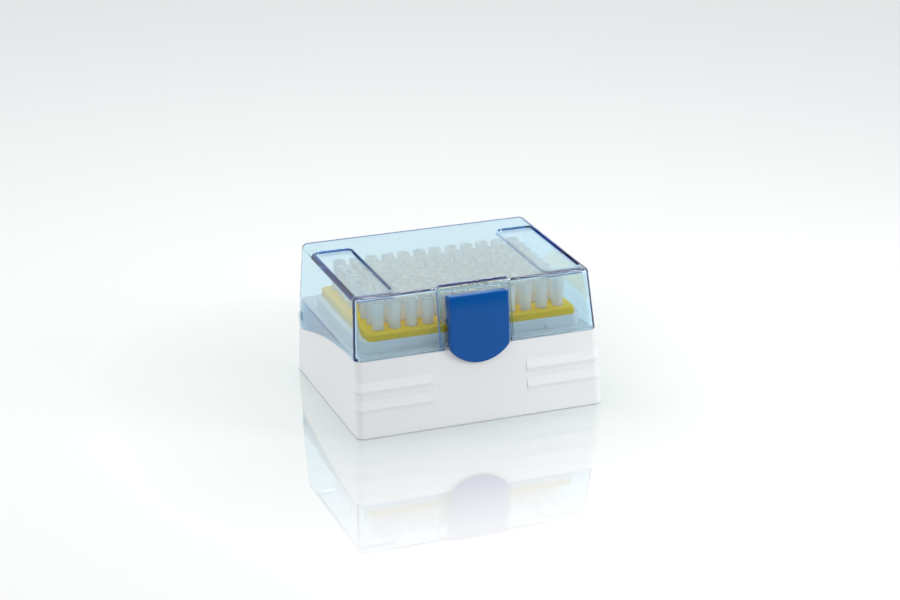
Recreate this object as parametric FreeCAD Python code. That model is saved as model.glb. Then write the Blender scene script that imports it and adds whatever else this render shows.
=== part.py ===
import FreeCAD, Part

import math
import os
from FreeCAD import Vector

# Box of pipette tips: a flip-lid rack with 96 tips, in millimetres.
# Origin: centre of the footprint at floor level. +X right, +Y back (hinge side), +Z up.

# ---- Tip array ----
columns = 12
rows = 8
pitch = 9.0

# ---- Tips ----
tip_length = 53.0
tip_stand = 14.65           # top of a tip above the tray
tip_rim_radius = 3.55
tip_rim_height = 1.0
tip_rim_lip = 0.75          # rim's thickness round the mouth
tip_hub_top_radius = 3.4
tip_hub_step_depth = 7.0    # below the top
tip_hub_step = 0.15
tip_hub_bottom_radius = 3.1
tip_neck_radius = 2.6
tip_waist_radius = 1.5
tip_waist_depth = 37.0      # below the top
tip_end_radius = 0.55
tip_wall = 0.5
tip_end_bore_radius = 0.28

# ---- Tray ----
tray_margin_x = 7.7         # beyond the outermost tips' axes
tray_margin_y = 6.9
tray_height = 3.75
tray_top = 1.8
tray_wall = 1.6
tray_corner = 3.0
tray_edge_round = 1.0
tray_hole_gap = 0.15        # radial, round a tip's neck
spigot_margin = 3.4         # inside of the tray's spigot beyond the outermost tips' axes
spigot_wall = 1.2
spigot_drop = 2.7
spigot_gap = 0.4

# ---- Walls and gaps of the two mouldings ----
base_wall = 1.8
lid_wall = 1.8
skirt_wall = 1.9            # lid's skirt beside the neck, at shoulder height
part_gap = 0.3              # between pieces that move past each other
fit_gap = 0.05              # radial, round a pin

# ---- Base: heights, slopes and the ledges round the raised deck ----
shoulder_height = 40.0      # where base and lid meet at the front
neck_rise = 0.7             # ledge above the front shoulder
deck_rise = 6.6             # deck above the ledge
side_lean_base = 1.5        # how far each side leans in between floor and shoulder
front_lean_base = 5.8
back_lean_base = 0.9
deck_side_margin = 3.6      # deck beyond the tray
deck_front_margin = 0.2
side_ledge = 3.4            # ledge from the deck to the neck's edge
front_ledge = 5.6
back_ledge = 15.9
corner_radius = 4.0         # upright corners, outside
foot_chamfer = 0.5
neck_corner = 2.2
neck_back_round = 2.0

# ---- Raised deck ----
deck_wall = 1.8
deck_corner = 5.6
deck_edge_round = 0.8
scoop_margin = 18.8         # bare deck wall at each end of the scoop
scoop_end_slant = 3.0
scoop_depth = 1.9
scoop_top_depth = 0.05
scoop_clear_top = 0.7

# ---- Grip ridges on the front ----
grip_panel = 51.8           # bare panel between the left and right ridges
grip_proud = 0.8
grip_ridge_heights = (24.8, 15.3)
grip_ramp_above = 4.4
grip_ramp_below = 2.1

# ---- Hinge ----
hinge_inset = 6.6           # axis ahead of the back at the floor
hinge_drop = 9.1            # axis below the front shoulder
hinge_round = 5.9           # rounded end of the lid's side skirt, about the hinge axis
hinge_slope = 15.0          # degrees, the side parting line's fall towards the hinge
hinge_pin_radius = 2.0
hinge_pin_stub = 0.5        # how far the pin stands out of the wall inside
hinge_boss_radius = 3.6
hinge_boss_height = 0.3

# ---- Lid ----
tip_headroom = 3.0          # tips' tops to the underside of the pads
side_lean_lid = 2.1         # how far each side leans in between shoulder and top
front_lean_lid = 5.9
back_lean_lid = 0.7
back_edge_lift = 0.6        # lid's back edge above the ledge
lid_edge_round = 2.3
lid_inner_round = 1.0
pad_side_rim = 1.75         # from the lid's top side edge to the pad
pad_front_rim = 6.5
pad_back_rim = 17.6
pad_width = 21.1
pad_corner = 3.5
pad_depth = 1.4
pad_draft = 0.9
pad_edge_round = 0.35
bar_length = 37.2
bar_width = 1.6
bar_height = 0.8
bar_edge_round = 0.55
bar_sunk = 0.3              # how far the bar runs into the lid's top
bar_setback = 3.4           # bar's middle behind the lid's top front edge

# ---- Latch and its bay in the lid's front ----
latch_width = 32.2
latch_top_drop = 3.9        # below the lid's top
latch_lobe_drop = 8.1       # lobe's lowest point below the shoulder
latch_lobe_radius = 20.0
latch_top_proud = 6.0       # face ahead of the lid's front plane, at the latch's top
latch_low_proud = 2.9       # the same at the shoulder
latch_crown = 0.45          # how far the face bulges between top and shoulder
latch_corner = 1.1
latch_lobe_corner = 2.5     # where a straight side turns into the lobe
latch_edge_round = 0.8
latch_wall = 1.6
latch_core_corner = 0.5
latch_inset = 0.8           # back of the latch behind the lid's front plane
latch_lobe_back = 0.9       # back of the lobe ahead of the lid's front plane
latch_lobe_rise = 1.2       # the lobe ends this far above the ledge
latch_pivot_drop = 13.5     # pivot below the latch's top
latch_pivot_depth = 0.7     # behind the lid's front plane
latch_pin_radius = 0.8
latch_pin_bite = 1.3        # how far a pin of the lid enters the latch
latch_boss_radius = 1.8
latch_boss_length = 2.4
hook_width = 16.0
hook_height = 1.6
hook_drop = 3.2             # below the shoulder
hook_tip = 0.1              # the hook's tip ahead of the lid's front plane
bay_side_gap = 2.4
bay_depth = 3.0
bay_wall = 1.0
bay_side_wall = 1.5
bay_top_gap = 1.9
bay_pin_root = 0.5          # how far a pin runs into the bay's side wall
catch_depth = 0.9
catch_margin = 0.6

# ---- Worked-out heights ----
ledge_z = shoulder_height + neck_rise
deck_z = ledge_z + deck_rise
tray_z = deck_z + tray_height
tip_top_z = tray_z + tip_stand
top_height = tip_top_z + tip_headroom + lid_wall + pad_depth
lid_back_edge_z = ledge_z + back_edge_lift
latch_top_z = top_height - latch_top_drop
latch_pivot_z = latch_top_z - latch_pivot_drop
hinge_z = shoulder_height - hinge_drop

# ---- Worked-out lengths (X) and depths (Y), from the tip array outwards ----
array_length = (columns - 1) * pitch
array_depth = (rows - 1) * pitch
tray_length = array_length + 2 * tray_margin_x
tray_depth = array_depth + 2 * tray_margin_y
spigot_length = array_length + 2 * (spigot_margin + spigot_wall)
spigot_depth = array_depth + 2 * (spigot_margin + spigot_wall)
deck_length = tray_length + 2 * deck_side_margin
deck_depth = tray_depth + 2 * deck_front_margin
neck_half_x = deck_length / 2 + side_ledge
skirt_half_x = neck_half_x + part_gap
floor_length = 2 * (skirt_half_x + skirt_wall + side_lean_base)
front_margin = front_lean_base + skirt_wall + part_gap
floor_depth = front_margin + front_ledge + deck_depth + back_ledge + back_lean_base
neck_front_y = -floor_depth / 2 + front_margin
deck_front_y = neck_front_y + front_ledge
deck_back_y = deck_front_y + deck_depth
array_y = (deck_front_y + deck_back_y) / 2
hinge_y = floor_depth / 2 - hinge_inset
front_angle = math.atan2(front_lean_lid, top_height - shoulder_height)

# ---- Reach of cutting shapes ----
far = 200.0                 # beyond the part on every side
past = 1.0                  # past a face that is cut through
X_AXIS = Vector(1, 0, 0)
Z_AXIS = Vector(0, 0, 1)


def base_outline(z):
    """Half length, front and back of the base's outer shape at height z."""
    share = z / shoulder_height
    return (floor_length / 2 - side_lean_base * share, -floor_depth / 2 + front_lean_base * share,
            floor_depth / 2 - back_lean_base * share)


def lid_outline(z):
    """The same for the lid, which leans in a little more."""
    half_x, front, back = base_outline(shoulder_height)
    share = (z - shoulder_height) / (top_height - shoulder_height)
    return half_x - side_lean_lid * share, front + front_lean_lid * share, back - back_lean_lid * share


def rounded_rectangle(x0, x1, y0, y1, radius, z):
    """Closed wire with four rounded corners, level at height z."""
    centres = ((x1 - radius, y1 - radius), (x0 + radius, y1 - radius),
               (x0 + radius, y0 + radius), (x1 - radius, y0 + radius))
    arcs = []
    for quarter, (x, y) in enumerate(centres):
        circle = Part.Circle(Vector(x, y, z), Z_AXIS, radius)
        start = quarter * math.pi / 2
        arcs.append(Part.Arc(circle, start, start + math.pi / 2).toShape())
    edges = []
    for index, arc in enumerate(arcs):
        following = arcs[(index + 1) % 4]
        edges.append(arc)
        edges.append(Part.makeLine(arc.Vertexes[-1].Point, following.Vertexes[0].Point))
    return Part.Wire(edges)


def body_ring(outline, z, inset=0.0):
    """Wire of the base's or the lid's outline at height z, moved in by inset."""
    half_x, front, back = outline(z)
    radius = corner_radius - inset
    return rounded_rectangle(-half_x + inset, half_x - inset, front + inset, back - inset, radius, z)


def loft(wires):
    return Part.makeLoft(wires, True, True)


def block(x0, x1, y0, y1, z0, z1):
    return Part.makeBox(x1 - x0, y1 - y0, z1 - z0, Vector(x0, y0, z0))


def rounded_block(half_x, y0, y1, radius, z0, z1):
    return loft([rounded_rectangle(-half_x, half_x, y0, y1, radius, z) for z in (z0, z1)])


def edges_near(shape, test):
    """Edges whose middle point passes the test."""
    chosen = []
    for edge in shape.Edges:
        middle = edge.valueAt((edge.FirstParameter + edge.LastParameter) / 2)
        if test(middle):
            chosen.append(edge)
    return chosen


def one_solid(shape):
    """The shape with split faces merged, as a single solid."""
    clean = shape.removeSplitter()
    if len(clean.Solids) != 1:
        raise ValueError("expected one solid, found %d" % len(clean.Solids))
    return clean.Solids[0]


# ---- Side parting line: level at the front, an arc, then a straight fall to the hinge ----

def parting_edges(offset):
    """Edges of the parting line from front to hinge, raised by offset, in the plane x = -far.

    Returns the edges, the line's direction at the back and the foot of the hinge's normal on it.
    """
    slope = math.radians(hinge_slope)
    normal = Vector(0, math.sin(slope), math.cos(slope))
    along = Vector(0, math.cos(slope), -math.sin(slope))
    hinge = Vector(-far, hinge_y, hinge_z)
    foot = hinge - normal * (hinge_round + part_gap - offset)
    front_y = base_outline(shoulder_height)[1]
    level = Vector(-far, front_y, shoulder_height + offset)
    gap = normal.dot(foot) - normal.dot(level)
    radius = gap / (1 - math.cos(slope))
    centre = level - Z_AXIS * radius
    middle = centre + Vector(0, math.sin(slope / 2), math.cos(slope / 2)) * radius
    tangent = centre + normal * radius
    edges = [Part.makeLine(level - Vector(0, far, 0), level),
             Part.Arc(level, middle, tangent).toShape(),
             Part.makeLine(tangent, foot)]
    return edges, along, foot


def prism(edges):
    """Closed outline in the plane x = -far, pushed through to x = far."""
    return Part.Face(Part.Wire(edges)).extrude(X_AXIS * (2 * far))


def closed_by(edges, points):
    """The edges, joined end to start by straight lines through the points."""
    corners = [edges[-1].Vertexes[-1].Point] + points + [edges[0].Vertexes[0].Point]
    return edges + [Part.makeLine(a, b) for a, b in zip(corners, corners[1:])]


def below_parting(offset):
    edges, along, foot = parting_edges(offset)
    edges.append(Part.makeLine(foot, foot + along * far))
    last = edges[-1].Vertexes[-1].Point
    low = [Vector(-far, last.y, -far), Vector(-far, -2 * far, -far)]
    return prism(closed_by(edges, low))


def above_parting():
    """All that belongs to the lid: above the parting line, and round the hinge at the back."""
    edges, _, foot = parting_edges(part_gap)
    hinge = Vector(-far, hinge_y, hinge_z)
    turn = (math.pi / 2 + math.radians(hinge_slope)) / 2
    middle = hinge + Vector(0, math.cos(turn), -math.sin(turn)) * hinge_round
    rear = hinge + Vector(0, hinge_round, 0)
    edges.append(Part.Arc(foot, middle, rear).toShape())
    high = [Vector(-far, rear.y, far), Vector(-far, -2 * far, far)]
    return prism(closed_by(edges, high))


# ---- Base ----

def grip_ridge(peak_z, side):
    """One ridge: a long ramp out from above, a short one back below, round the front corner."""
    ramps = loft([body_ring(base_outline, peak_z - grip_ramp_below),
                  body_ring(base_outline, peak_z, -grip_proud),
                  body_ring(base_outline, peak_z + grip_ramp_above)])
    end_y = base_outline(peak_z)[1] + corner_radius
    half = block(grip_panel / 2, far, -far, end_y, 0.0, shoulder_height)
    if side < 0:
        half = half.mirror(Vector(), X_AXIS)
    return ramps.common(half)


def neck():
    """Upper part of the base, set in so that the lid's skirt closes over it."""
    start_z = hinge_z - 2 * hinge_round
    rings = []
    for z in (start_z, ledge_z):
        back = base_outline(z)[2]
        rings.append(rounded_rectangle(-neck_half_x, neck_half_x, neck_front_y, back, neck_corner, z))
    solid = loft(rings)
    rear_top = edges_near(solid, lambda p: p.z > ledge_z - 0.01 and p.y > hinge_y)
    return solid.makeFillet(neck_back_round, rear_top)


def base_cavity():
    lower = loft([body_ring(base_outline, -past, base_wall), body_ring(base_outline, ledge_z, base_wall)])
    lower = lower.common(below_parting(-base_wall))
    start_z = hinge_z - 2 * hinge_round
    rings = []
    for z in (start_z, ledge_z - base_wall):
        back = base_outline(z)[2] - base_wall
        rings.append(rounded_rectangle(-neck_half_x + base_wall, neck_half_x - base_wall,
                                       neck_front_y + base_wall, back, neck_corner - base_wall, z))
    return lower.fuse(loft(rings))


def raised_deck():
    """Platform on the ledge, open in the middle, with a shallow scoop along its front."""
    low = ledge_z - base_wall / 2
    solid = rounded_block(deck_length / 2, deck_front_y, deck_back_y, deck_corner, low, deck_z)
    return solid.makeFillet(deck_edge_round, edges_near(solid, lambda p: p.z > deck_z - 0.01))


def deck_cavity():
    """Inside of the deck, which follows the scoop in front, with the opening for the tray's spigot."""
    front = deck_front_y + deck_wall
    inside = rounded_block(deck_length / 2 - deck_wall, front, deck_back_y - deck_wall,
                           deck_corner - deck_wall, ledge_z - 2 * base_wall, deck_z - deck_wall)
    scoop_half = deck_length / 2 - scoop_margin
    behind_scoop = block(-scoop_half, scoop_half, deck_front_y, front + scoop_depth,
                         ledge_z - base_wall, deck_z)
    half_y = spigot_depth / 2 + spigot_gap
    opening = rounded_block(spigot_length / 2 + spigot_gap, array_y - half_y, array_y + half_y,
                            tray_corner, ledge_z, deck_z + past)
    return inside.cut(behind_scoop).fuse(opening)


def deck_scoop():
    """Wedge cut: deepest at the ledge, running out under the tray, with slanted ends."""
    scoop_half = deck_length / 2 - scoop_margin
    ahead = deck_front_y - past
    wires = []
    for z, half, depth in ((ledge_z, scoop_half, scoop_depth),
                           (deck_z - scoop_clear_top, scoop_half - scoop_end_slant, scoop_top_depth)):
        corners = [Vector(-half, ahead, z), Vector(half, ahead, z),
                   Vector(half - depth, deck_front_y + depth, z),
                   Vector(-half + depth, deck_front_y + depth, z)]
        wires.append(Part.makePolygon(corners + corners[:1]))
    return loft(wires)


def make_base():
    foot = loft([body_ring(base_outline, 0.0, foot_chamfer), body_ring(base_outline, foot_chamfer)])
    body = loft([body_ring(base_outline, foot_chamfer), body_ring(base_outline, ledge_z)])
    body = body.common(below_parting(0.0))
    solid = body.fuse([foot, neck(), raised_deck()])
    for peak_z in grip_ridge_heights:
        for side in (-1, 1):
            solid = solid.fuse(grip_ridge(peak_z, side))
    solid = solid.cut(base_cavity().fuse(deck_cavity()))
    solid = solid.cut(deck_scoop())
    bore = Part.makeCylinder(hinge_pin_radius + fit_gap, 2 * far, Vector(-far, hinge_y, hinge_z), X_AXIS)
    solid = solid.cut(bore)
    slot = hook_block(catch_margin, -catch_depth, latch_low_proud)
    return one_solid(solid.cut(latch_frame(slot)))


# ---- Front plane of the lid: x across, y up the slope, z outwards ----

def latch_frame(shape):
    """Moves a shape drawn on the lid's front plane to its place."""
    origin = Vector(0, lid_outline(shoulder_height)[1], shoulder_height)
    placed = shape.copy()
    placed.rotate(Vector(), X_AXIS, 90.0 - math.degrees(front_angle))
    placed.translate(origin)
    return placed


def up_slope(z):
    """Distance up the front plane that reaches height z."""
    return (z - shoulder_height) / math.cos(front_angle)


def hook_block(margin, low, high):
    """Block round the latch's hook, wider by margin, between two heights above the front plane."""
    half_x = hook_width / 2 + margin
    half_s = hook_height / 2 + margin
    middle = up_slope(shoulder_height - hook_drop)
    return block(-half_x, half_x, middle - half_s, middle + half_s, low, high)


# ---- Lid ----

def lid_outer():
    low = hinge_z - 2 * hinge_round
    shape = loft([body_ring(base_outline, low), body_ring(lid_outline, shoulder_height),
                  body_ring(lid_outline, top_height)])
    return shape.makeFillet(lid_edge_round, edges_near(shape, lambda p: p.z > top_height - 0.01))


def lid_inner():
    ceiling = top_height - lid_wall
    _, front, back = lid_outline(shoulder_height)
    low_ring = rounded_rectangle(-skirt_half_x, skirt_half_x, front + skirt_wall, back - lid_wall,
                                 corner_radius - lid_wall, shoulder_height)
    shape = loft([low_ring, body_ring(lid_outline, ceiling, lid_wall)])
    shape = shape.makeFillet(lid_inner_round, edges_near(shape, lambda p: p.z > ceiling - 0.01))
    skirt_space = block(-skirt_half_x, skirt_half_x, front + skirt_wall, far, -far, lid_back_edge_z)
    return shape.fuse(skirt_space)


def pad_block(side, grow, z_top, z_bottom, draft):
    """Block under or in one of the two pads on the lid's top, grown sideways by grow."""
    half_x, front, back = lid_outline(top_height)
    outer_x = half_x - pad_side_rim
    wires = []
    for z, inset in ((z_bottom, draft - grow), (z_top, -grow)):
        wires.append(rounded_rectangle(outer_x - pad_width + inset, outer_x - inset,
                                       front + pad_front_rim + inset, back - pad_back_rim - inset,
                                       pad_corner - inset, z))
    shape = loft(wires)
    return shape if side > 0 else shape.mirror(Vector(), X_AXIS)


def pad_rim(solid, side):
    """Edges round the top of one pad."""
    half_x, front, back = lid_outline(top_height)
    outer_x = half_x - pad_side_rim
    return edges_near(solid, lambda p: outer_x - pad_width < side * p.x < outer_x
                      and front + pad_front_rim < p.y < back - pad_back_rim
                      and p.z > top_height - pad_depth / 2)


def top_bar():
    """Low ridge along the lid's top, behind the latch."""
    middle_y = lid_outline(top_height)[1] + bar_setback
    bar = block(-bar_length / 2, bar_length / 2, middle_y - bar_width / 2, middle_y + bar_width / 2,
                top_height - bar_sunk, top_height + bar_height)
    long_top = edges_near(bar, lambda p: p.z > top_height + bar_height - 0.01 and abs(p.x) < past)
    return bar.makeFillet(bar_edge_round, long_top)


def make_lid():
    outer = lid_outer()
    solid = outer.cut(lid_inner())
    for side in (-1, 1):
        under = pad_block(side, lid_wall - pad_draft, top_height - lid_wall / 2,
                          top_height - pad_depth - lid_wall, 0.0)
        solid = solid.fuse(under.common(outer))
        solid = solid.cut(pad_block(side, 0.0, top_height + past, top_height - pad_depth, pad_draft))
        solid = solid.makeFillet(pad_edge_round, pad_rim(solid, side))

    bay_half = latch_width / 2 + bay_side_gap
    ceiling = up_slope(latch_top_z + bay_top_gap)
    foot = up_slope(ledge_z + part_gap) + (bay_depth + bay_wall) * math.tan(front_angle)
    housing = block(-bay_half - bay_side_wall, bay_half + bay_side_wall, foot, ceiling + bay_wall,
                    -bay_depth - bay_wall, 0.0)
    solid = solid.fuse(latch_frame(housing).common(outer))
    solid = solid.cut(latch_frame(block(-bay_half, bay_half, -far, ceiling, -bay_depth, latch_top_proud)))
    solid = solid.fuse(top_bar()).common(above_parting())
    for side in (-1, 1):
        solid = solid.fuse(hinge_pin(side))

    pin_tip = latch_width / 2 - latch_pin_bite
    for side in (-1, 1):
        solid = solid.fuse(latch_frame(pivot_pin(latch_pin_radius, pin_tip, bay_half + bay_pin_root, side)))
    return one_solid(solid)


def hinge_pin(side):
    """Pin on the inside of the skirt, and a low round boss outside it."""
    outer_x = base_outline(hinge_z)[0]
    inner_x = neck_half_x - base_wall - hinge_pin_stub
    pin = Part.makeCylinder(hinge_pin_radius, outer_x - lid_wall / 2 - inner_x,
                            Vector(inner_x, hinge_y, hinge_z), X_AXIS)
    boss = Part.makeCylinder(hinge_boss_radius, lid_wall / 2 + hinge_boss_height,
                             Vector(outer_x - lid_wall / 2, hinge_y, hinge_z), X_AXIS)
    shape = pin.fuse(boss)
    return shape if side > 0 else shape.mirror(Vector(), X_AXIS)


# ---- Latch, drawn on the lid's front plane ----

def pivot_pin(radius, x_near, x_far, side):
    """Cylinder about the latch's pivot, on one side of the middle."""
    pin = Part.makeCylinder(radius, x_far - x_near,
                            Vector(x_near, up_slope(latch_pivot_z), -latch_pivot_depth), X_AXIS)
    return pin if side > 0 else pin.mirror(Vector(), X_AXIS)


def latch_block(inset, low, top_round, lobe_round):
    """Latch's outline, square above and round below, moved in by inset and raised from low."""
    half = latch_width / 2 - inset
    radius = latch_lobe_radius - inset
    bottom = up_slope(shoulder_height - latch_lobe_drop) + inset
    top = up_slope(latch_top_z) - inset
    side_end = bottom + radius - math.sqrt(radius ** 2 - half ** 2)
    left_low = Vector(-half, side_end, low)
    right_low = Vector(half, side_end, low)
    left_top = Vector(-half, top, low)
    right_top = Vector(half, top, low)
    outline = Part.Wire([Part.makeLine(right_top, left_top),
                         Part.makeLine(left_top, left_low),
                         Part.Arc(left_low, Vector(0, bottom, low), right_low).toShape(),
                         Part.makeLine(right_low, right_top)])
    shape = Part.Face(outline).extrude(Z_AXIS * far)
    top_corners = edges_near(shape, lambda p: p.y > top - 0.01 and abs(p.x) > half - 0.01)
    shape = shape.makeFillet(top_round, top_corners)
    return shape.makeFillet(lobe_round, edges_near(shape, lambda p: abs(p.y - side_end) < 0.01))


def crown_curve():
    """Circle that the latch's face follows from top to bottom."""
    top = up_slope(latch_top_z)
    middle_proud = (latch_top_proud + latch_low_proud) / 2 + latch_crown
    return Part.Circle(Vector(0, top, latch_top_proud), Vector(0, top / 2, middle_proud),
                       Vector(0, 0, latch_low_proud))


def under_crown(inset):
    """All that lies under the latch's face, moved in by inset."""
    crown = crown_curve()
    start = Vector(-latch_width, crown.Center.y, crown.Center.z)
    return Part.makeCylinder(crown.Radius - inset, 2 * latch_width, start, X_AXIS)


def make_latch():
    half = latch_width / 2
    outer = latch_block(0.0, -latch_inset, latch_corner, latch_lobe_corner).common(under_crown(0.0))
    crown = crown_curve()
    rim = edges_near(outer, lambda p: abs((p - crown.Center).cross(X_AXIS).Length - crown.Radius) < 0.01)
    outer = outer.makeFillet(latch_edge_round, rim)
    lobe_top = up_slope(ledge_z + latch_lobe_rise)
    outer = outer.cut(block(-half - past, half + past, -far, lobe_top, -far, latch_lobe_back))
    core = latch_block(latch_wall, -bay_depth, latch_core_corner, latch_core_corner)
    core = core.common(under_crown(latch_wall))
    hook = hook_block(0.0, hook_tip, latch_low_proud - latch_wall / 2)
    solid = outer.cut(core).fuse(hook)
    bore_end = half - latch_pin_bite - part_gap
    for side in (-1, 1):
        solid = solid.fuse(pivot_pin(latch_boss_radius, half - latch_boss_length, half, side))
        solid = solid.cut(pivot_pin(latch_pin_radius + fit_gap, bore_end, half + past, side))
    return one_solid(latch_frame(solid))


# ---- Tray and tips ----

def tip_places(column):
    """Axes of the tips of one column, front row first."""
    x = (column - (columns - 1) / 2) * pitch
    return [(x, array_y + (row - (rows - 1) / 2) * pitch) for row in range(rows)]


def make_tray():
    def ring_block(half_x, half_y, radius, z0, z1):
        return rounded_block(half_x, array_y - half_y, array_y + half_y, radius, z0, z1)

    half_x = tray_length / 2
    half_y = tray_depth / 2
    plate = ring_block(half_x, half_y, tray_corner, deck_z, tray_z)
    plate = plate.makeFillet(tray_edge_round, edges_near(plate, lambda p: p.z > tray_z - 0.01))
    hollow = ring_block(half_x - tray_wall, half_y - tray_wall, tray_corner - tray_wall, deck_z - past,
                        tray_z - tray_top)
    spigot_x = spigot_length / 2
    spigot_y = spigot_depth / 2
    spigot = ring_block(spigot_x, spigot_y, tray_corner, deck_z - spigot_drop, tray_z - tray_top / 2)
    spigot_hollow = ring_block(spigot_x - spigot_wall, spigot_y - spigot_wall,
                               tray_corner - spigot_wall, deck_z - spigot_drop - past,
                               tray_z - tray_top)
    solid = plate.cut(hollow).fuse(spigot.cut(spigot_hollow))
    holes = []
    for column in range(columns):
        for x, y in tip_places(column):
            holes.append(Part.makeCylinder(tip_neck_radius + tray_hole_gap, 2 * tray_height,
                                           Vector(x, y, tray_z - tray_height), Z_AXIS))
    return one_solid(solid.cut(holes))


def tip_solid():
    """One tip about the Z axis: hub above the tray, cone below it, bored right through."""
    top = tip_top_z
    end = top - tip_length
    outer = [(tip_rim_radius, top), (tip_rim_radius, top - tip_rim_height),
             (tip_hub_top_radius, top - tip_rim_height),
             (tip_hub_top_radius - tip_hub_step, top - tip_hub_step_depth),
             (tip_hub_top_radius - 2 * tip_hub_step, top - tip_hub_step_depth),
             (tip_hub_bottom_radius, tray_z), (tip_neck_radius, tray_z),
             (tip_waist_radius, top - tip_waist_depth), (tip_end_radius, end)]
    bore = [(tip_end_bore_radius, end), (tip_waist_radius - tip_wall, top - tip_waist_depth),
            (tip_neck_radius - tip_wall, tray_z),
            (tip_hub_top_radius - tip_hub_step - tip_wall, top - tip_hub_step_depth),
            (tip_rim_radius - tip_rim_lip, top)]
    points = [Vector(r, 0, z) for r, z in outer + bore]
    profile = Part.Face(Part.makePolygon(points + points[:1]))
    return profile.revolve(Vector(), Z_AXIS, 360)


def make_tip_column(column, tip):
    tips = []
    for x, y in tip_places(column):
        placed = tip.copy()
        placed.translate(Vector(x, y, 0))
        tips.append(placed)
    return Part.Compound(tips)


def main():
    os.makedirs("parts", exist_ok=True)
    pieces = {"base": make_base(), "tray": make_tray(), "lid": make_lid(), "latch": make_latch()}
    tip = tip_solid()
    for column in range(columns):
        pieces["tips_column_%02d" % (column + 1)] = make_tip_column(column, tip)
    for name, shape in pieces.items():
        shape.exportStep("parts/%s.step" % name)
        box = shape.BoundBox
        print("%-16s %2d solid(s) %10.1f mm3  x %.2f..%.2f  y %.2f..%.2f  z %.2f..%.2f  valid %s" % (
            name, len(shape.Solids), shape.Volume, box.XMin, box.XMax, box.YMin, box.YMax,
            box.ZMin, box.ZMax, shape.isValid()))


main()
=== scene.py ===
import math

import bmesh
import bpy
from bpy.props import FloatProperty, FloatVectorProperty, PointerProperty
from mathutils import Matrix, Vector


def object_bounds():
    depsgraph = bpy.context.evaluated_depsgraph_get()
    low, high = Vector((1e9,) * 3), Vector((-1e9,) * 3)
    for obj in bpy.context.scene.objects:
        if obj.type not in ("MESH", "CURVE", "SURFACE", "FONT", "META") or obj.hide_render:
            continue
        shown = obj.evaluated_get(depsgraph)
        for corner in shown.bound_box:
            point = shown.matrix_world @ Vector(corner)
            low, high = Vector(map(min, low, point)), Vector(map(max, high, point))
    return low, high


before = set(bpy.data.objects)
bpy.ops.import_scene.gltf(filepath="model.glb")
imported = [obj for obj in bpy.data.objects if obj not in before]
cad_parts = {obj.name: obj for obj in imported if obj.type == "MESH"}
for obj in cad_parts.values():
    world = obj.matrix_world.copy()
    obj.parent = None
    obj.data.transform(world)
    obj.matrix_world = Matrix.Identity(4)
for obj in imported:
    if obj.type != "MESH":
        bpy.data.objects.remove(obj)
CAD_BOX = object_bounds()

bl_info = {
    "name": "Tip box",
    "version": (1, 0, 0),
    "blender": (4, 5, 0),
    "location": "3D View > Sidebar > Tip box",
    "description": "Dresses a flip-lid box of pipette tips and sets it on a glossy pale table",
    "category": "Object",
}

MM = 0.001
BOX_MIDDLE = (0.0, 0.0, 0.04)   # what the lamps face
CAMERA_AIM = (1.51 * MM, -1.6 * MM, 48.76 * MM)
CAMERA_CLIP = 0.01              # nearest distance that the camera shows, in metres
LIFT = 1.55                     # how much brighter the surround is at the left and behind
LIFT_WAY = (0.7, -0.71, 0.0)    # direction in which the surround gets darker
LIGHT_PATH_STEPS = 128          # light runs far inside the lid's walls before it leaves by an edge
MIRROR_AND_SHADE_NEAR = 1.10              # share of light that the table mirrors, seen edge on, at the foot; with the greyish mirror this paints shade around the box
MIRROR_AND_SHADE_FAR = 0.30               # the same, beyond the reach below, where the painted shade has faded out
# how far from the foot the mirror share, and the shade that it paints, falls off
MIRROR_AND_SHADE_REACH = 115 * MM
ROOM_DARK = 0.1                 # what gloss shows of the room ahead of the table, low down
ROOM_FRONT = (0.2, -0.9)        # where that dark begins and is full, as a direction's Y
ROOM_LOW = (0.18, 0.05)         # the same, as a direction's Z
TABLE_REACH = (3.0, 0.45, 3.0)  # from the middle: to either side, to the front, to the back, in metres
WHITE = (1.0, 1.0, 1.0)
TIP_NODES = sorted(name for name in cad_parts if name.startswith("tips_column"))


def srgb(hex_code):
    """sRGB hex, such as "1F4E9B", to linear red, green and blue."""
    channels = [int(hex_code[i:i + 2], 16) / 255 for i in (0, 2, 4)]
    return tuple(c / 12.92 if c <= 0.04045 else ((c + 0.055) / 1.055) ** 2.4 for c in channels)


def colour_property(name, hex_code, description):
    return FloatVectorProperty(name=name, description=description, subtype="COLOR", size=3,
                               min=0.0, max=1.0, default=srgb(hex_code))


# ---- Settings a user would change ----

class TipBoxColours(bpy.types.PropertyGroup):
    base_white: colour_property("Base", "F0EEF0", "White of the moulded lower box")
    lid_tint: colour_property("Lid tint", "7EDBF4", "Colour that deepens with the thickness of clear plastic")
    latch_blue: colour_property("Latch", "02529F", "Blue of the glossy latch")
    tray_yellow: colour_property("Tray", "FFCE00", "Yellow of the drilled tray")
    tip_natural: colour_property("Tips", "FFFDFA", "Milky body of the uncoloured tips")
    table: colour_property("Table", "EFF1F1", "Body of the table top")
    table_shade: colour_property("Table shade", "B6C3C2", "Table's tone in the light that it throws back")
    # Greyish cast of every reflection in the table; where the mirror share is raised near the foot, this grey
    # also paints shade around the box.
    mirror_cast_and_shade: colour_property("Table gloss", "E0E9E7", "Cast of the mirror on the table")
    surround: colour_property("Surround light", "FBFDFF", "Cast of the light from the surround")
    overhead: colour_property("Overhead light", "FFF3F0", "Cast of the large softbox")


class TipBoxSizes(bpy.types.PropertyGroup):
    grain: FloatProperty(name="Grain", description="Spacing of the fine spark-eroded mould grain",
                         default=0.6 * MM, min=0.0, unit="LENGTH")
    flow: FloatProperty(name="Flow marks", description="Length of the faint waves that moulding leaves",
                        default=26 * MM, min=0.0, unit="LENGTH")
    tint_depth: FloatProperty(name="Tint density", description="How strongly a metre of clear plastic tints",
                              default=156.0, min=0.0)


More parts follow.
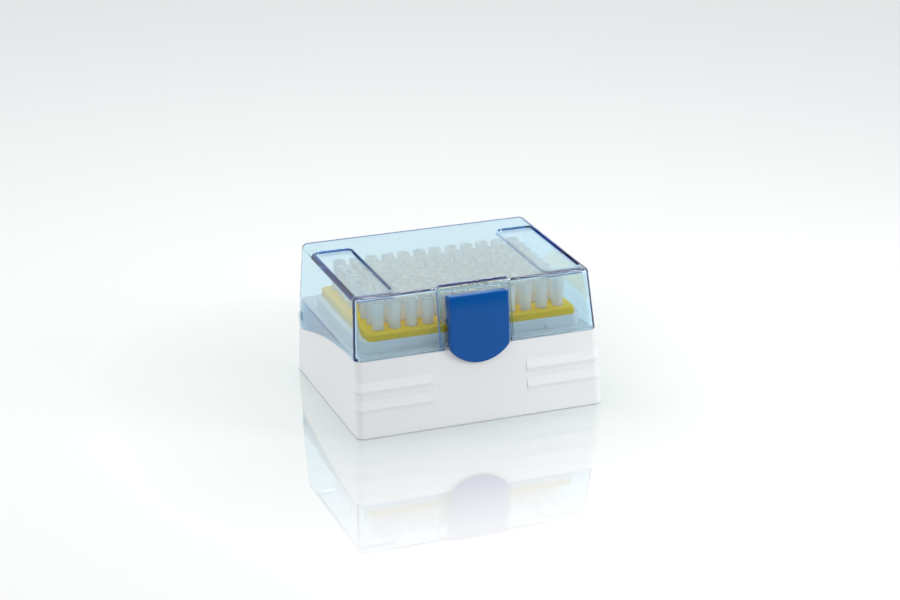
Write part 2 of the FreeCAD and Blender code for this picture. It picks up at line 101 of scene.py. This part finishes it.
class TipBoxStage(bpy.types.PropertyGroup):
    azimuth: FloatProperty(name="Azimuth", description="Camera's turn to the left of straight ahead",
                           default=math.radians(20.17), subtype="ANGLE")
    elevation: FloatProperty(name="Elevation", description="Camera's height as an angle",
                             default=math.radians(20.63), subtype="ANGLE")
    distance: FloatProperty(name="Distance", description="Camera to the middle of the box",
                            default=1.201, min=0.1, unit="LENGTH")
    focal_length: FloatProperty(name="Focal length", description="Lens, in millimetres", default=90.59)
    roll: FloatProperty(name="Roll", description="Camera's tilt about its own axis",
                        default=math.radians(-0.38), subtype="ANGLE")
    surround: FloatProperty(name="Surround", description="Strength of the pale surround",
                            default=0.735, min=0.0)
    overhead: FloatProperty(name="Overhead", description="Power of the softbox overhead, in watts",
                            default=3.4, min=0.0)
    strip: FloatProperty(name="Strip", description="Power of the strip that shows in gloss alone, in watts",
                         default=3.0, min=0.0)
    side: FloatProperty(name="Side", description="Power of the small softbox at the right, in watts",
                        default=0.88, min=0.0)


# ---- Shader helper ----

def add(tree, kind, values=None, links=None, **settings):
    """Adds a node; values and links go to sockets by name or number, settings to the node itself."""
    node = tree.nodes.new(kind)
    for name, value in settings.items():
        setattr(node, name, value)
    for socket, value in (values or {}).items():
        node.inputs[socket].default_value = value
    for socket, source in (links or {}).items():
        tree.links.new(source, node.inputs[socket])
    return node


def new_material(name):
    material = bpy.data.materials.new(name)
    material.use_nodes = True
    material.node_tree.nodes.clear()
    return material, material.node_tree


def finish_material(tree, surface, volume=None):
    links = {"Surface": surface}
    if volume is not None:
        links["Volume"] = volume
    add(tree, "ShaderNodeOutputMaterial", links=links)


def opaque(colour):
    return (*colour, 1.0)


def flow_marks(tree, place, size):
    """Long faint waves, as melt leaves them while it fills a mould."""
    return add(tree, "ShaderNodeTexNoise", {"Scale": 1 / size, "Detail": 1.0},
               {"Vector": place.outputs["Object"]})


def mould_grain(tree, place, size):
    """Fine random grain, as spark erosion leaves it in a mould."""
    return add(tree, "ShaderNodeTexNoise", {"Scale": 1 / size, "Detail": 2.0},
               {"Vector": place.outputs["Object"]})


def dress(names, material):
    for name in names:
        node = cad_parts[name]
        node.data.materials.clear()
        node.data.materials.append(material)


# ---- Materials ----

def moulded_white(colours, sizes):
    """White ABS, injection moulded in a finely spark-eroded tool: satin, with a very fine grain."""
    material, tree = new_material("moulded_white_abs")
    place = add(tree, "ShaderNodeTexCoord")
    grain = mould_grain(tree, place, sizes.grain)
    waves = flow_marks(tree, place, sizes.flow)
    bump = add(tree, "ShaderNodeBump", {"Strength": 0.12, "Distance": 0.05 * MM},
               {"Height": grain.outputs["Fac"]})
    bump = add(tree, "ShaderNodeBump", {"Strength": 0.25, "Distance": 0.1 * MM},
               {"Height": waves.outputs["Fac"], "Normal": bump.outputs["Normal"]})
    rough = add(tree, "ShaderNodeMapRange", {"To Min": 0.30, "To Max": 0.42},
                {"Value": grain.outputs["Fac"]})
    tone = add(tree, "ShaderNodeMix", {"A": opaque(colours.base_white),
                                       "B": opaque([c * 0.97 for c in colours.base_white])},
               {"Factor": waves.outputs["Fac"]}, data_type="RGBA")
    shader = add(tree, "ShaderNodeBsdfPrincipled", {"IOR": 1.53, "Specular IOR Level": 0.3},
                 {"Base Color": tone.outputs["Result"], "Roughness": rough.outputs["Result"],
                  "Normal": bump.outputs["Normal"]})
    finish_material(tree, shader.outputs["BSDF"])
    return material


def clear_lid(colours, sizes):
    """Clear SAN, moulded in a polished tool: sharp reflections, and a blue that gathers in the edges."""
    material, tree = new_material("polished_clear_san")
    place = add(tree, "ShaderNodeTexCoord")
    waves = flow_marks(tree, place, sizes.flow)
    bump = add(tree, "ShaderNodeBump", {"Strength": 0.1, "Distance": 0.05 * MM},
               {"Height": waves.outputs["Fac"]})
    shader = add(tree, "ShaderNodeBsdfPrincipled",
                 {"Base Color": opaque(WHITE), "Roughness": 0.02, "IOR": 1.57,
                  "Transmission Weight": 1.0}, {"Normal": bump.outputs["Normal"]})
    tint = add(tree, "ShaderNodeVolumeAbsorption",
               {"Color": opaque(colours.lid_tint), "Density": sizes.tint_depth})
    finish_material(tree, shader.outputs["BSDF"], tint.outputs["Volume"])
    return material


def gloss_blue(colours, sizes):
    """Pigmented ABS from a polished tool: deep, even blue under a sharp gloss."""
    material, tree = new_material("polished_blue_abs")
    place = add(tree, "ShaderNodeTexCoord")
    waves = flow_marks(tree, place, sizes.flow)
    bump = add(tree, "ShaderNodeBump", {"Strength": 0.2, "Distance": 0.1 * MM},
               {"Height": waves.outputs["Fac"]})
    shader = add(tree, "ShaderNodeBsdfPrincipled",
                 {"Base Color": opaque(colours.latch_blue), "Roughness": 0.12, "IOR": 1.53,
                  "Specular IOR Level": 0.18},
                 {"Normal": bump.outputs["Normal"]})
    finish_material(tree, shader.outputs["BSDF"])
    return material


def satin_yellow(colours, sizes):
    """Pigmented polypropylene, satin: slightly waxy, so that light goes a little way in."""
    material, tree = new_material("satin_yellow_polypropylene")
    place = add(tree, "ShaderNodeTexCoord")
    grain = mould_grain(tree, place, sizes.grain)
    bump = add(tree, "ShaderNodeBump", {"Strength": 0.15, "Distance": 0.05 * MM},
               {"Height": grain.outputs["Fac"]})
    shader = add(tree, "ShaderNodeBsdfPrincipled",
                 {"Base Color": opaque(colours.tray_yellow), "Roughness": 0.4, "IOR": 1.49,
                  "Specular IOR Level": 0.3, "Subsurface Weight": 0.15, "Subsurface Scale": 1.5 * MM},
                 {"Normal": bump.outputs["Normal"]})
    finish_material(tree, shader.outputs["BSDF"])
    return material


def natural_tip(colours, sizes):
    """Uncoloured polypropylene, half a millimetre thick: milky and translucent, with a soft gloss."""
    material, tree = new_material("natural_polypropylene")
    place = add(tree, "ShaderNodeTexCoord")
    waves = flow_marks(tree, place, sizes.flow / 4)
    bump = add(tree, "ShaderNodeBump", {"Strength": 0.1, "Distance": 0.1 * MM},
               {"Height": waves.outputs["Fac"]})
    shader = add(tree, "ShaderNodeBsdfPrincipled",
                 {"Base Color": opaque(colours.tip_natural), "Roughness": 0.4, "IOR": 1.49,
                  "Alpha": 0.55, "Subsurface Weight": 1.0, "Subsurface Scale": 2.2 * MM,
                  "Subsurface Radius": (1.0, 1.0, 1.0)}, {"Normal": bump.outputs["Normal"]})
    finish_material(tree, shader.outputs["BSDF"])
    return material


def glossy_table(colours):
    """Opal glass: a white body under a greyish mirror whose share is raised around the object's foot, which
    paints a soft shade around the foot; the reflection itself is rendered.

    Its body is greyer to diffuse rays, so that it throws less light back on the object.
    """
    material, tree = new_material("opal_glass_with_painted_shade")
    place = add(tree, "ShaderNodeTexCoord")
    cloud = add(tree, "ShaderNodeTexNoise", {"Scale": 3.0}, {"Vector": place.outputs["Object"]})
    rough = add(tree, "ShaderNodeMapRange", {"To Min": 0.001, "To Max": 0.004},
                {"Value": cloud.outputs["Fac"]})
    rays = add(tree, "ShaderNodeLightPath")
    tone = add(tree, "ShaderNodeMix", {"A": opaque(colours.table), "B": opaque(colours.table_shade)},
               {"Factor": rays.outputs["Is Diffuse Ray"]}, data_type="RGBA")
    body = add(tree, "ShaderNodeBsdfDiffuse", links={"Color": tone.outputs["Result"]})
    mirror = add(tree, "ShaderNodeBsdfGlossy", {"Color": opaque(colours.mirror_cast_and_shade)},
                 {"Roughness": rough.outputs["Result"]})
    corner = CAD_BOX[1]
    side = add(tree, "ShaderNodeVectorMath", links={0: place.outputs["Object"]}, operation="ABSOLUTE")
    beyond = add(tree, "ShaderNodeVectorMath", {1: (corner[0], corner[1], 0.0)}, {0: side.outputs[0]},
                 operation="SUBTRACT")
    beyond = add(tree, "ShaderNodeVectorMath", {1: (0.0, 0.0, 0.0)}, {0: beyond.outputs[0]},
                 operation="MAXIMUM")
    away = add(tree, "ShaderNodeVectorMath", links={0: beyond.outputs[0]}, operation="LENGTH")
    # Painted shade: the mirror share is raised near the box's foot, so the greyish mirror darkens the table
    # around the box whatever it mirrors.
    mirror_share_and_shade = add(tree, "ShaderNodeMapRange", {"From Min": 0.0, "From Max": MIRROR_AND_SHADE_REACH,
                                              "To Min": MIRROR_AND_SHADE_NEAR, "To Max": MIRROR_AND_SHADE_FAR},
                 {"Value": away.outputs["Value"]})
    angle = add(tree, "ShaderNodeLayerWeight", {"Blend": 0.5})
    share = add(tree, "ShaderNodeMath", links={0: angle.outputs["Facing"], 1: mirror_share_and_shade.outputs["Result"]},
                operation="MULTIPLY")
    top = add(tree, "ShaderNodeMixShader", links={0: share.outputs[0], 1: body.outputs[0],
                                                  2: mirror.outputs[0]})
    finish_material(tree, top.outputs[0])
    return material


# ---- Operators ----

class TIPBOX_OT_base(bpy.types.Operator):
    """Dress the white lower box"""
    bl_idname = "tipbox.base"
    bl_label = "Base"

    def execute(self, context):
        dress(["base"], moulded_white(context.scene.tipbox_colours, context.scene.tipbox_sizes))
        return {"FINISHED"}


class TIPBOX_OT_tray(bpy.types.Operator):
    """Dress the drilled yellow tray"""
    bl_idname = "tipbox.tray"
    bl_label = "Tray"

    def execute(self, context):
        dress(["tray"], satin_yellow(context.scene.tipbox_colours, context.scene.tipbox_sizes))
        return {"FINISHED"}


class TIPBOX_OT_tips(bpy.types.Operator):
    """Dress the loose tips"""
    bl_idname = "tipbox.tips"
    bl_label = "Tips"

    def execute(self, context):
        dress(TIP_NODES, natural_tip(context.scene.tipbox_colours, context.scene.tipbox_sizes))
        return {"FINISHED"}


class TIPBOX_OT_lid(bpy.types.Operator):
    """Dress the clear flip lid"""
    bl_idname = "tipbox.lid"
    bl_label = "Lid"

    def execute(self, context):
        dress(["lid"], clear_lid(context.scene.tipbox_colours, context.scene.tipbox_sizes))
        return {"FINISHED"}


class TIPBOX_OT_latch(bpy.types.Operator):
    """Dress the blue rocker latch"""
    bl_idname = "tipbox.latch"
    bl_label = "Latch"

    def execute(self, context):
        dress(["latch"], gloss_blue(context.scene.tipbox_colours, context.scene.tipbox_sizes))
        return {"FINISHED"}


def softbox(name, place, aim, width, height, watts, colour):
    """Area lamp of the given size that faces aim."""
    data = bpy.data.lights.new(name, "AREA")
    data.shape = "RECTANGLE"
    data.size = width
    data.size_y = height
    data.energy = watts
    data.color = colour
    lamp = bpy.data.objects.new(name, data)
    bpy.context.scene.collection.objects.link(lamp)
    lamp.location = place
    lamp.rotation_euler = (Vector(aim) - Vector(place)).to_track_quat("-Z", "Y").to_euler()
    return lamp


class TIPBOX_OT_stage(bpy.types.Operator):
    """Set the table, the surround, the lamps and the camera"""
    bl_idname = "tipbox.stage"
    bl_label = "Stage"

    def execute(self, context):
        scene = context.scene
        stage = scene.tipbox_stage
        sheet = bmesh.new()
        bmesh.ops.create_grid(sheet, x_segments=1, y_segments=1, size=1.0)
        side, ahead, behind = TABLE_REACH
        for vertex in sheet.verts:
            vertex.co.x *= side
            vertex.co.y *= behind if vertex.co.y > 0 else ahead
        mesh = bpy.data.meshes.new("table")
        sheet.to_mesh(mesh)
        sheet.free()
        table = bpy.data.objects.new("table", mesh)
        table.data.materials.append(glossy_table(scene.tipbox_colours))
        scene.collection.objects.link(table)

        world = bpy.data.worlds.new("pale_surround")
        scene.world = world
        world.use_nodes = True
        tree = world.node_tree
        tree.nodes.clear()
        rays = add(tree, "ShaderNodeLightPath")
        clear = add(tree, "ShaderNodeMath", links={0: rays.outputs["Is Camera Ray"],
                                                   1: rays.outputs["Is Transmission Ray"]},
                    operation="MAXIMUM")
        way = add(tree, "ShaderNodeTexCoord")
        axes = add(tree, "ShaderNodeSeparateXYZ", links={0: way.outputs["Generated"]})
        front = add(tree, "ShaderNodeMapRange", {"From Min": ROOM_FRONT[0], "From Max": ROOM_FRONT[1]},
                    {"Value": axes.outputs["Y"]})
        low = add(tree, "ShaderNodeMapRange", {"From Min": ROOM_LOW[0], "From Max": ROOM_LOW[1]},
                  {"Value": axes.outputs["Z"]})
        dim = add(tree, "ShaderNodeMath", links={0: front.outputs["Result"], 1: low.outputs["Result"]},
                  operation="MULTIPLY")
        room = add(tree, "ShaderNodeMapRange", {"To Min": 1.0, "To Max": ROOM_DARK},
                   {"Value": dim.outputs[0]})
        along = add(tree, "ShaderNodeVectorMath", {1: LIFT_WAY}, {0: way.outputs["Generated"]},
                    operation="DOT_PRODUCT")
        level = add(tree, "ShaderNodeMapRange", {"From Min": -1.0, "From Max": 1.0,
                                                 "To Min": stage.surround * LIFT,
                                                 "To Max": stage.surround / LIFT},
                    {"Value": along.outputs["Value"]})
        lighting = add(tree, "ShaderNodeBackground", {"Color": opaque(scene.tipbox_colours.surround)},
                       {"Strength": level.outputs["Result"]})
        mirrored = add(tree, "ShaderNodeBackground", {"Color": opaque(WHITE)},
                       {"Strength": room.outputs["Result"]})
        shown = add(tree, "ShaderNodeBackground", {"Color": opaque(WHITE), "Strength": 1.0})
        inner = add(tree, "ShaderNodeMixShader", links={0: rays.outputs["Is Glossy Ray"],
                                                        1: lighting.outputs[0], 2: mirrored.outputs[0]})
        mix = add(tree, "ShaderNodeMixShader", links={0: clear.outputs[0], 1: inner.outputs[0],
                                                      2: shown.outputs[0]})
        add(tree, "ShaderNodeOutputWorld", links={"Surface": mix.outputs[0]})

        softbox("overhead", (-0.05, 0.12, 0.88), BOX_MIDDLE, 0.50, 0.40, stage.overhead,
                scene.tipbox_colours.overhead)
        strip = softbox("strip", (0.27, 0.25, 0.80), BOX_MIDDLE, 0.50, 0.06, stage.strip, WHITE)
        strip.visible_diffuse = False
        strip.visible_transmission = False
        softbox("side", (0.38, -0.30, 0.24), BOX_MIDDLE, 0.18, 0.18, stage.side, WHITE)

        camera_data = bpy.data.cameras.new("camera")
        camera_data.lens = stage.focal_length
        camera_data.clip_start = CAMERA_CLIP
        camera = bpy.data.objects.new("camera", camera_data)
        scene.collection.objects.link(camera)
        aim = Vector(CAMERA_AIM)
        away = Vector((-math.sin(stage.azimuth) * math.cos(stage.elevation),
                       -math.cos(stage.azimuth) * math.cos(stage.elevation), math.sin(stage.elevation)))
        camera.location = aim + away * stage.distance
        turn = (-away).to_track_quat("-Z", "Y").to_matrix() @ Matrix.Rotation(stage.roll, 3, "Z")
        camera.rotation_euler = turn.to_euler()
        scene.camera = camera
        scene.view_settings.view_transform = "Standard"
        for kind in ("diffuse_bounces", "glossy_bounces", "transmission_bounces",
                     "transparent_max_bounces", "max_bounces"):
            setattr(scene.cycles, kind, LIGHT_PATH_STEPS)
        return {"FINISHED"}


class TIPBOX_PT_panel(bpy.types.Panel):
    """Lists the pieces and their settings"""
    bl_idname = "TIPBOX_PT_panel"
    bl_label = "Tip box"
    bl_space_type = "VIEW_3D"
    bl_region_type = "UI"
    bl_category = "Tip box"

    def draw(self, context):
        for operator in PIECES:
            self.layout.operator(operator.bl_idname)
        for settings in (context.scene.tipbox_colours, context.scene.tipbox_sizes,
                         context.scene.tipbox_stage):
            for name in settings.bl_rna.properties.keys():
                if name not in ("rna_type", "name"):
                    self.layout.prop(settings, name)


PIECES = (TIPBOX_OT_base, TIPBOX_OT_tray, TIPBOX_OT_tips, TIPBOX_OT_lid, TIPBOX_OT_latch,
          TIPBOX_OT_stage)
CLASSES = (TipBoxColours, TipBoxSizes, TipBoxStage) + PIECES + (TIPBOX_PT_panel,)


def register():
    for cls in CLASSES:
        bpy.utils.register_class(cls)
    bpy.types.Scene.tipbox_colours = PointerProperty(type=TipBoxColours)
    bpy.types.Scene.tipbox_sizes = PointerProperty(type=TipBoxSizes)
    bpy.types.Scene.tipbox_stage = PointerProperty(type=TipBoxStage)


def unregister():
    del bpy.types.Scene.tipbox_stage
    del bpy.types.Scene.tipbox_sizes
    del bpy.types.Scene.tipbox_colours
    for cls in reversed(CLASSES):
        bpy.utils.unregister_class(cls)


def main():
    register()
    bpy.ops.tipbox.base()
    bpy.ops.tipbox.tray()
    bpy.ops.tipbox.tips()
    bpy.ops.tipbox.lid()
    bpy.ops.tipbox.latch()
    bpy.ops.tipbox.stage()


if __name__ == "__main__":
    main()
